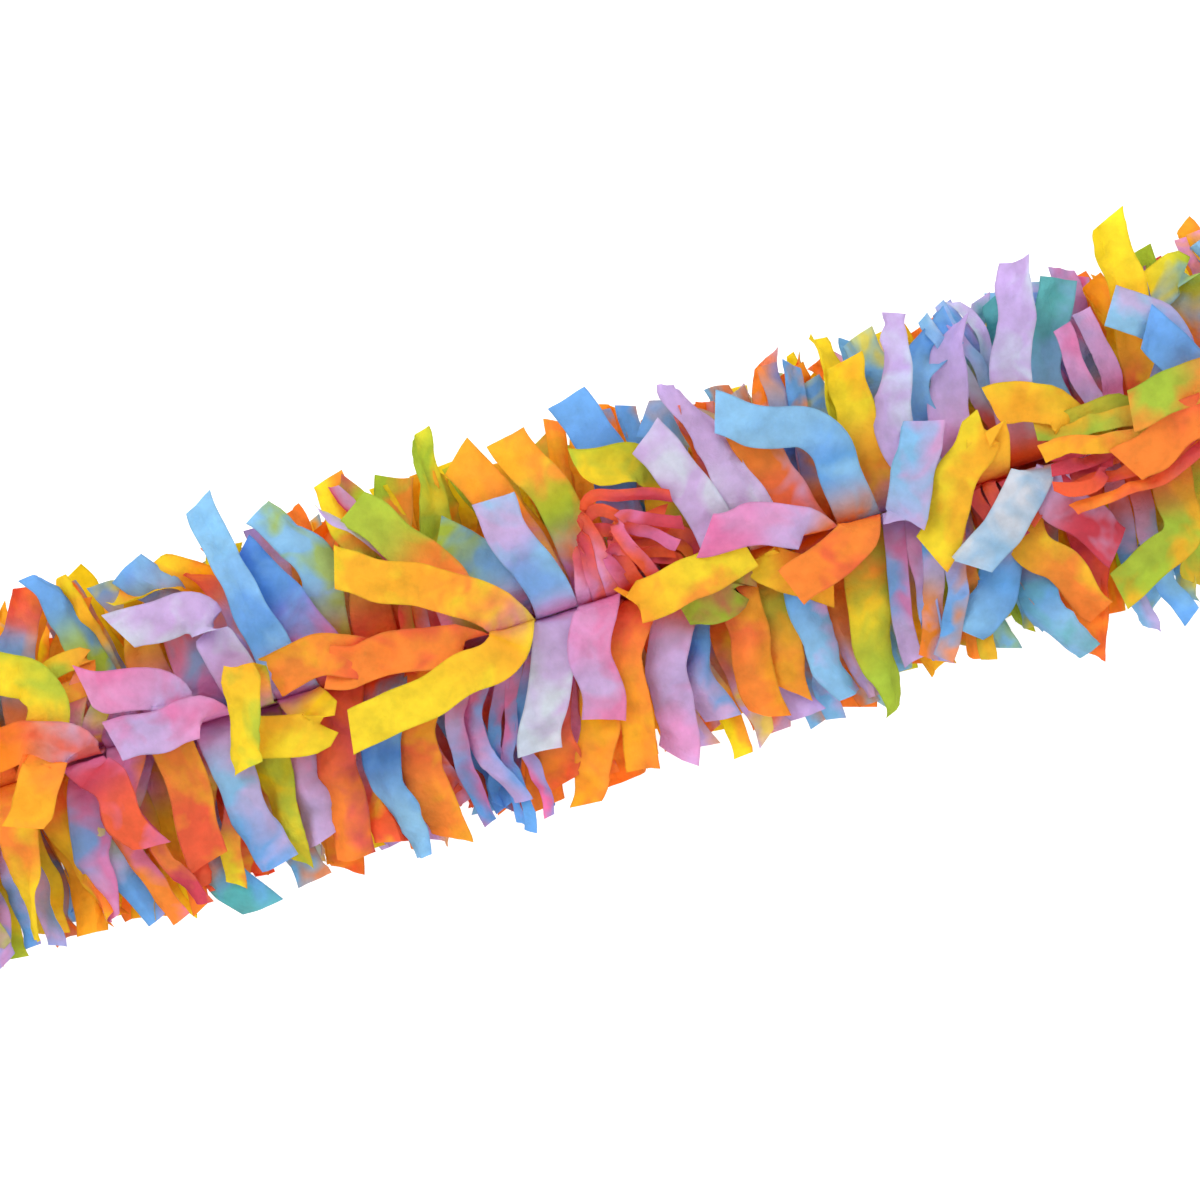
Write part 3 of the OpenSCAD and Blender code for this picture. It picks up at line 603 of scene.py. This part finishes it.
def strip_tree():
    """Paper ribbons along paths: eased, folded lengthwise, crumpled, and given a thickness."""
    tree, given, result = new_tree("Tissue strips along paths", [
        ("Strip Width", "NodeSocketFloat"), ("Sheet Thickness", "NodeSocketFloat"),
        ("Ring Spacing", "NodeSocketFloat"), ("Points Across", "NodeSocketInt"),
        ("Crumple Depth", "NodeSocketFloat"), ("Crumple Size", "NodeSocketFloat"),
        ("Crease Slope", "NodeSocketFloat"), ("Wander", "NodeSocketFloat"),
        ("Seed", "NodeSocketFloat"), ("Paper", "NodeSocketMaterial")])

    def named(name, kind="FLOAT"):
        node = add(tree, "GeometryNodeInputNamedAttribute", {"Name": name}, data_type=kind)
        return node.outputs["Attribute"]

    def calc(operation, *values):
        node = add(tree, "ShaderNodeMath", dict(enumerate(values)), operation=operation)
        return node.outputs[0]

    def vector(operation, *values):
        feeds = dict(enumerate(values))
        if operation == "SCALE":
            feeds = {0: values[0], "Scale": values[1]}
        node = add(tree, "ShaderNodeVectorMath", feeds, operation=operation)
        return node.outputs["Vector"]

    curves = add(tree, "GeometryNodeMeshToCurve", {"Mesh": given.outputs["Paths"]})
    smooth = add(tree, "GeometryNodeCurveSplineType", {"Curve": curves.outputs[0]},
                 spline_type="CATMULL_ROM")
    even = add(tree, "GeometryNodeResampleCurve",
               {"Curve": smooth.outputs[0], "Length": given.outputs["Ring Spacing"]}, mode="LENGTH")
    run = add(tree, "GeometryNodeSplineParameter")
    kept = add(tree, "GeometryNodeStoreNamedAttribute",
               {"Geometry": even.outputs[0], "Name": "run", "Value": run.outputs["Length"]},
               data_type="FLOAT", domain="POINT")
    direction = add(tree, "GeometryNodeInputTangent")
    kept = add(tree, "GeometryNodeStoreNamedAttribute",
               {"Geometry": kept.outputs[0], "Name": "direction", "Value": direction.outputs[0]},
               data_type="FLOAT_VECTOR", domain="POINT")
    where = add(tree, "GeometryNodeInputPosition")
    kept = add(tree, "GeometryNodeStoreNamedAttribute",
               {"Geometry": kept.outputs[0], "Name": "centre", "Value": where.outputs[0]},
               data_type="FLOAT_VECTOR", domain="POINT")

    line = add(tree, "GeometryNodeCurvePrimitiveLine", {"Start": (-1, 0, 0), "End": (1, 0, 0)})
    across = add(tree, "GeometryNodeResampleCurve",
                 {"Curve": line.outputs[0], "Count": given.outputs["Points Across"]}, mode="COUNT")
    place_x = add(tree, "ShaderNodeSeparateXYZ",
                  {0: add(tree, "GeometryNodeInputPosition").outputs[0]})
    profile = add(tree, "GeometryNodeStoreNamedAttribute",
                  {"Geometry": across.outputs[0], "Name": "side", "Value": place_x.outputs["X"]},
                  data_type="FLOAT", domain="POINT")
    ribbon = add(tree, "GeometryNodeCurveToMesh",
                 {"Curve": kept.outputs[0], "Profile Curve": profile.outputs[0]})

    # The strip's own frame: its direction, its width and its normal
    ahead = vector("NORMALIZE", named("direction", "FLOAT_VECTOR"))
    normal = vector("NORMALIZE", vector("CROSS_PRODUCT", named("across", "FLOAT_VECTOR"), ahead))
    width = vector("CROSS_PRODUCT", ahead, normal)
    half = calc("MULTIPLY", calc("MULTIPLY", given.outputs["Strip Width"], 0.5), named("wide"))
    side, fold_at, fold = named("side"), named("fold_at"), named("fold")

    # A lengthwise fold makes the strip narrower to the eye, and a cup bends its edges
    off = calc("SUBTRACT", side, fold_at)
    x = calc("ADD", calc("MULTIPLY", off, calc("COSINE", fold)), fold_at)
    ridge = calc("MULTIPLY", calc("SUBTRACT", calc("ABSOLUTE", off), 0.55), calc("SINE", fold))
    cup = calc("MULTIPLY", calc("SUBTRACT", calc("MULTIPLY", side, side), 0.33), named("cup"))
    z = calc("ADD", ridge, cup)

    # Crumple, with the same noise over the whole width of a strip for its wander
    along_mm = calc("ADD", named("run"), calc("MULTIPLY", named("number"), 0.731))
    spot = add(tree, "ShaderNodeCombineXYZ",
               {0: along_mm, 1: calc("MULTIPLY", side, half), 2: given.outputs["Seed"]})
    lump = add(tree, "ShaderNodeTexNoise",
               {"Vector": spot.outputs[0],
                "Scale": calc("DIVIDE", 1.0, given.outputs["Crumple Size"]), "Detail": 1.5,
                "Roughness": 0.6}, noise_dimensions="3D")
    lumps = calc("SUBTRACT", lump.outputs[0], 0.5)
    dent = calc("MULTIPLY", lumps, calc("MULTIPLY", given.outputs["Crumple Depth"], 2.0))

    def creases(length, angle):
        """Nearly straight hand creases: a zigzag that climbs and falls once in each length."""
        u = calc("ADD", calc("MULTIPLY", along_mm, cos(angle)),
                 calc("MULTIPLY", calc("MULTIPLY", side, half), sin(angle)))
        u = calc("ADD", u, calc("MULTIPLY", lumps, 0.02))
        return calc("SUBTRACT", calc("PINGPONG", u, length / 2), length / 4)

    zigzag = calc("ADD", creases(0.023, 55), calc("ADD", creases(0.015, -38), creases(0.031, 12)))
    zigzag = calc("ADD", zigzag, creases(0.0095, 70))
    dent = calc("ADD", dent, calc("MULTIPLY", zigzag, given.outputs["Crease Slope"]))
    dent = calc("MULTIPLY", dent, named("loosen"))
    drift = add(tree, "ShaderNodeTexNoise", {"W": along_mm, "Scale": 28.0, "Detail": 1.0},
                noise_dimensions="1D")
    sway = vector("SUBTRACT", drift.outputs["Color"], (0.5, 0.5, 0.5))
    sway = vector("SCALE", sway, calc("MULTIPLY", given.outputs["Wander"], named("loosen")))
    rise = calc("ADD", calc("MULTIPLY", z, half), dent)
    spot_at = vector("ADD", named("centre", "FLOAT_VECTOR"),
                     vector("SCALE", width, calc("MULTIPLY", x, half)))
    spot_at = vector("ADD", spot_at, vector("SCALE", normal, rise))
    slant = calc("MULTIPLY", calc("MULTIPLY", side, half), named("skew"))
    spot_at = vector("ADD", spot_at, vector("SCALE", ahead, slant))
    spot_at = vector("ADD", spot_at, sway)
    # Nothing sinks into the table
    spot_at = vector("MAXIMUM", spot_at, (-9.0, -9.0, TIP_OFF_TABLE))
    shaped = add(tree, "GeometryNodeSetPosition",
                 {"Geometry": ribbon.outputs[0], "Position": spot_at})

    # Both faces and the cut edges, as one closed skin
    raised = add(tree, "GeometryNodeExtrudeMesh",
                 {"Mesh": shaped.outputs[0], "Offset Scale": given.outputs["Sheet Thickness"],
                  "Individual": False}, mode="FACES")
    under = add(tree, "GeometryNodeFlipFaces", {"Mesh": shaped.outputs[0]})
    both = add(tree, "GeometryNodeJoinGeometry")
    tree.links.new(under.outputs[0], both.inputs[0])
    tree.links.new(raised.outputs[0], both.inputs[0])
    closed = add(tree, "GeometryNodeMergeByDistance",
                 {"Geometry": both.outputs[0], "Distance": 1e-7})
    soft = add(tree, "GeometryNodeSetShadeSmooth", {"Geometry": closed.outputs[0]}, domain="FACE")
    angle = add(tree, "GeometryNodeInputMeshEdgeAngle")
    sharp = add(tree, "ShaderNodeMath", {0: angle.outputs["Unsigned Angle"], 1: 0.9},
                operation="GREATER_THAN")
    edged = add(tree, "GeometryNodeSetShadeSmooth",
                {"Geometry": soft.outputs[0], "Selection": sharp.outputs[0],
                 "Shade Smooth": False}, domain="EDGE")
    kept_names = edged.outputs[0]
    for name in ("across", "direction", "centre", "wide", "loosen", "fold", "fold_at", "cup",
                 "skew", "number"):
        kept_names = add(tree, "GeometryNodeRemoveAttribute",
                         {"Geometry": kept_names, "Name": name}).outputs[0]
    painted = add(tree, "GeometryNodeSetMaterial",
                  {"Geometry": kept_names, "Material": given.outputs["Paper"]})
    real = add(tree, "GeometryNodeRealizeInstances", {"Geometry": painted.outputs[0]})
    tree.links.new(real.outputs[0], result.inputs[0])
    return tree


def cord_tree():
    """Round cord along its paths, with closed ends."""
    tree, given, result = new_tree("Round cord along paths", [
        ("Cord Radius", "NodeSocketFloat"), ("Ring Spacing", "NodeSocketFloat"),
        ("Sides", "NodeSocketInt"), ("Fibre", "NodeSocketMaterial")])
    curves = add(tree, "GeometryNodeMeshToCurve", {"Mesh": given.outputs["Paths"]})
    smooth = add(tree, "GeometryNodeCurveSplineType", {"Curve": curves.outputs[0]},
                 spline_type="CATMULL_ROM")
    even = add(tree, "GeometryNodeResampleCurve",
               {"Curve": smooth.outputs[0], "Length": given.outputs["Ring Spacing"]}, mode="LENGTH")
    round_ = add(tree, "GeometryNodeCurvePrimitiveCircle",
                 {"Radius": given.outputs["Cord Radius"], "Resolution": given.outputs["Sides"]})
    tube = add(tree, "GeometryNodeCurveToMesh",
               {"Curve": even.outputs[0], "Profile Curve": round_.outputs[0], "Fill Caps": True})
    soft = add(tree, "GeometryNodeSetShadeSmooth", {"Geometry": tube.outputs[0]}, domain="FACE")
    painted = add(tree, "GeometryNodeSetMaterial",
                  {"Geometry": soft.outputs[0], "Material": given.outputs["Fibre"]})
    real = add(tree, "GeometryNodeRealizeInstances", {"Geometry": painted.outputs[0]})
    tree.links.new(real.outputs[0], result.inputs[0])
    return tree


def grown(name, paths, tree, sizes):
    """A plain mesh object, made by running tree over paths with these sizes."""
    start = bpy.data.objects.new(name + "_paths", paths)
    bpy.context.scene.collection.objects.link(start)
    modifier = start.modifiers.new("grow", "NODES")
    modifier.node_group = tree
    for item in tree.interface.items_tree:
        if item.item_type == "SOCKET" and item.in_out == "INPUT" and item.name in sizes:
            modifier[item.identifier] = sizes[item.name]
    view = bpy.context.evaluated_depsgraph_get()
    mesh = bpy.data.meshes.new_from_object(start.evaluated_get(view), depsgraph=view)
    mesh.name = name
    bpy.data.objects.remove(start)
    bpy.data.meshes.remove(paths)
    piece = bpy.data.objects.new(name, mesh)
    bpy.context.scene.collection.objects.link(piece)
    return piece


def new_material(name):
    material = bpy.data.materials.new(name)
    material.use_nodes = True
    material.node_tree.nodes.clear()
    return material, material.node_tree


def dyed_tissue():
    """Dip-dyed tissue of 18 g/m2, calendered and crumpled by hand: matt, thin enough that light
    comes through it, with the dye a little uneven and painted shade darkening it along the cut
    edges."""
    material, tree = new_material("dyed tissue paper")
    out = add(tree, "ShaderNodeOutputMaterial")
    place_ = add(tree, "ShaderNodeTexCoord")
    dye = add(tree, "ShaderNodeAttribute", attribute_name="dye")
    second = add(tree, "ShaderNodeAttribute", attribute_name="bleed")
    # Patches where a second dye has run in, about 18 mm across
    patches = add(tree, "ShaderNodeTexNoise",
                  {"Vector": place_.outputs["Object"], "Scale": 55.0, "Detail": 2.0,
                   "Distortion": 0.6})
    side = add(tree, "ShaderNodeAttribute", attribute_name="side")
    leaning = add(tree, "ShaderNodeMath",
                  {0: side.outputs["Fac"], 1: 0.1, 2: patches.outputs[0]}, operation="MULTIPLY_ADD")
    run_in = add(tree, "ShaderNodeMapRange",
                 {"Value": leaning.outputs[0], "From Min": 0.44, "From Max": 0.68, "To Min": 0.0,
                  "To Max": 0.8})
    dyed = add(tree, "ShaderNodeMix",
               {0: run_in.outputs[0], 6: dye.outputs["Color"], 7: second.outputs["Color"]},
               data_type="RGBA")
    # Painted shade: the colour is darkened along the strips' cut edges, for the thin shadow there
    edge = add(tree, "ShaderNodeMath", {0: side.outputs["Fac"]}, operation="ABSOLUTE")
    shade = add(tree, "ShaderNodeMapRange",
                {"Value": edge.outputs[0], "From Min": 0.9, "From Max": 1.0, "To Min": 1.0,
                 "To Max": 0.84})
    tint = add(tree, "ShaderNodeVectorMath", {0: dyed.outputs[2], "Scale": shade.outputs[0]},
               operation="SCALE")
    # Thin and thick clouds of fibre, 8 mm across, as in all tissue
    clouds = add(tree, "ShaderNodeTexNoise",
                 {"Vector": place_.outputs["Object"], "Scale": 125.0, "Detail": 3.0,
                  "Roughness": 0.6})
    cloudy = add(tree, "ShaderNodeMapRange",
                 {"Value": clouds.outputs[0], "From Min": 0.3, "From Max": 0.7, "To Min": 0.88,
                  "To Max": 1.06})
    tint = add(tree, "ShaderNodeVectorMath", {0: tint.outputs[0], "Scale": cloudy.outputs[0]},
               operation="SCALE")
    # Small creases 6 mm apart and a crinkle of 2 mm, coarser than the paper's own fibres, which
    # are too fine to show
    ridges = add(tree, "ShaderNodeTexNoise",
                 {"Vector": place_.outputs["Object"], "Scale": 170.0, "Detail": 3.0,
                  "Roughness": 0.65, "Distortion": 0.4})
    crinkle = add(tree, "ShaderNodeTexNoise",
                  {"Vector": place_.outputs["Object"], "Scale": 420.0, "Detail": 2.0})
    height = add(tree, "ShaderNodeMath",
                 {0: ridges.outputs[0], 1: 2.0, 2: crinkle.outputs[0]}, operation="MULTIPLY_ADD")
    bump = add(tree, "ShaderNodeBump",
               {"Strength": 0.5, "Distance": 0.0007, "Height": height.outputs[0]})
    front = add(tree, "ShaderNodeBsdfPrincipled",
                {"Base Color": tint.outputs[0], "Roughness": 0.8, "IOR": 1.45,
                 "Specular IOR Level": 0.2, "Normal": bump.outputs[0]})
    through = add(tree, "ShaderNodeBsdfTranslucent",
                  {"Color": tint.outputs[0], "Normal": bump.outputs[0]})
    mix = add(tree, "ShaderNodeMixShader",
              {0: 0.58, 1: front.outputs[0], 2: through.outputs[0]})
    tree.links.new(mix.outputs[0], out.inputs["Surface"])
    return material


def cotton(name, code, lay_mm):
    """Spun cotton: matt, off white, with the slanting lay of its plies."""
    material, tree = new_material(name)
    out = add(tree, "ShaderNodeOutputMaterial")
    place_ = add(tree, "ShaderNodeTexCoord")
    lay = add(tree, "ShaderNodeTexWave",
              {"Vector": place_.outputs["Object"], "Scale": 1 / (lay_mm * MM) / 6.28,
               "Distortion": 1.5, "Detail": 2.0, "Detail Scale": 2.0},
              wave_type="BANDS", bands_direction="DIAGONAL")
    shade = add(tree, "ShaderNodeMapRange",
                {"Value": lay.outputs["Fac"], "To Min": 0.82, "To Max": 1.0})
    tint = add(tree, "ShaderNodeVectorMath", {0: linear(code)[:3], "Scale": shade.outputs[0]},
               operation="SCALE")
    bump = add(tree, "ShaderNodeBump",
               {"Strength": 0.6, "Distance": 0.0001, "Height": lay.outputs["Fac"]})
    fibre = add(tree, "ShaderNodeBsdfPrincipled",
                {"Base Color": tint.outputs[0], "Roughness": 0.9, "IOR": 1.5,
                 "Specular IOR Level": 0.3, "Normal": bump.outputs[0]})
    tree.links.new(fibre.outputs[0], out.inputs["Surface"])
    return material


# The six sheets
tissue = dyed_tissue()
strips_along_paths = strip_tree()
for sheet in range(SHEETS):
    node = f"tissue_sheet_{sheet + 1}"
    piece = grown(f"paper_sheet_{sheet + 1}", path_mesh(node, sheet_paths(sheet)),
                  strips_along_paths,
                  {"Strip Width": (STRIP_W - CUT) * MM, "Sheet Thickness": 0.00012,
                   "Ring Spacing": 0.0023, "Points Across": 9, "Crumple Depth": 0.0024,
                   "Crumple Size": 0.012, "Crease Slope": 0.2, "Wander": 0.014,
                   "Seed": 0.05 * sheet, "Paper": tissue})
    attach(piece, "root")
    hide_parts(node)

# The string and the thread at both ends
round_cord = cord_tree()
thread = cotton("cotton thread", "#F5F0E6", 0.8)
for node, name, paths, radius, spacing, fibre, slot in (
        ("centre_string", "plied_string", string_paths(), 0.26 * STRING_D, 0.0009,
         cotton("cotton string", "#EDE6D6", 1.6), "string"),
        ("end_tie_left", "thread_tie_left", tie_paths(-(FRINGE_LEN + TAB_LEN) / 2),
         0.27 * TIE_D, 0.0005, thread, "thread"),
        ("end_tie_right", "thread_tie_right", tie_paths((FRINGE_LEN + TAB_LEN) / 2),
         0.27 * TIE_D, 0.0005, thread, "thread")):
    piece = grown(name, path_mesh(node, paths), round_cord,
                  {"Cord Radius": radius * MM, "Ring Spacing": spacing, "Sides": 8, "Fibre": fibre})
    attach(piece, "root")
    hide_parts(node)


def seen_straight(tree):
    """1 for a ray from the camera, off a gloss or through a clear piece, and 0 elsewhere."""
    path = add(tree, "ShaderNodeLightPath")
    seen = add(tree, "ShaderNodeMath",
               {0: path.outputs["Is Camera Ray"], 1: path.outputs["Is Glossy Ray"]},
               operation="MAXIMUM")
    return add(tree, "ShaderNodeMath",
               {0: seen.outputs[0], 1: path.outputs["Is Transmission Ray"]},
               operation="MAXIMUM").outputs[0]


# Table, lamp and white surroundings
table_mesh = bpy.data.meshes.new("white_table")
table_mesh.from_pydata([(-4, -4, -0.0005), (4, -4, -0.0005), (4, 4, -0.0005), (-4, 4, -0.0005)],
                       [], [(0, 1, 2, 3)])
table = bpy.data.objects.new("white_table", table_mesh)
bpy.context.scene.collection.objects.link(table)
white, tree = new_material("white table")
out = add(tree, "ShaderNodeOutputMaterial")
paint = add(tree, "ShaderNodeBsdfDiffuse", {"Color": (0.8, 0.8, 0.8, 1)})
glow = add(tree, "ShaderNodeEmission", {"Color": (1, 1, 1, 1), "Strength": 0.55})
dark = add(tree, "ShaderNodeEmission", {"Color": (0, 0, 0, 1), "Strength": 0.0})
pick = add(tree, "ShaderNodeMixShader",
           {0: seen_straight(tree), 1: dark.outputs[0], 2: glow.outputs[0]})
whole = add(tree, "ShaderNodeAddShader", {0: paint.outputs[0], 1: pick.outputs[0]})
tree.links.new(whole.outputs[0], out.inputs["Surface"])
table_mesh.materials.append(white)

world = bpy.data.worlds.new("white room")
bpy.context.scene.world = world
world.use_nodes = True
tree = world.node_tree
tree.nodes.clear()
out = add(tree, "ShaderNodeOutputWorld")
room = add(tree, "ShaderNodeBackground", {"Color": (1, 1, 1, 1), "Strength": 1.45})
backdrop = add(tree, "ShaderNodeBackground", {"Color": (1, 1, 1, 1), "Strength": 1.0})
mix = add(tree, "ShaderNodeMixShader",
          {0: seen_straight(tree), 1: room.outputs[0], 2: backdrop.outputs[0]})
tree.links.new(mix.outputs[0], out.inputs["Surface"])


def lamp(name, at, towards, size, watts):
    """A square soft box."""
    light = bpy.data.lights.new(name, "AREA")
    light.shape = "SQUARE"
    light.size = size
    light.energy = watts
    box = bpy.data.objects.new(name, light)
    box.location = at
    aim = np.array(towards, float) - np.array(at, float)
    box.rotation_mode = "QUATERNION"
    box.rotation_quaternion = Vector(aim).to_track_quat("-Z", "Y")
    bpy.context.scene.collection.objects.link(box)


lamp("soft_box_far", (-0.5, 1.1, 1.3), (0, 0, 0), 0.8, 10)

bpy.context.scene.view_settings.view_transform = "Standard"
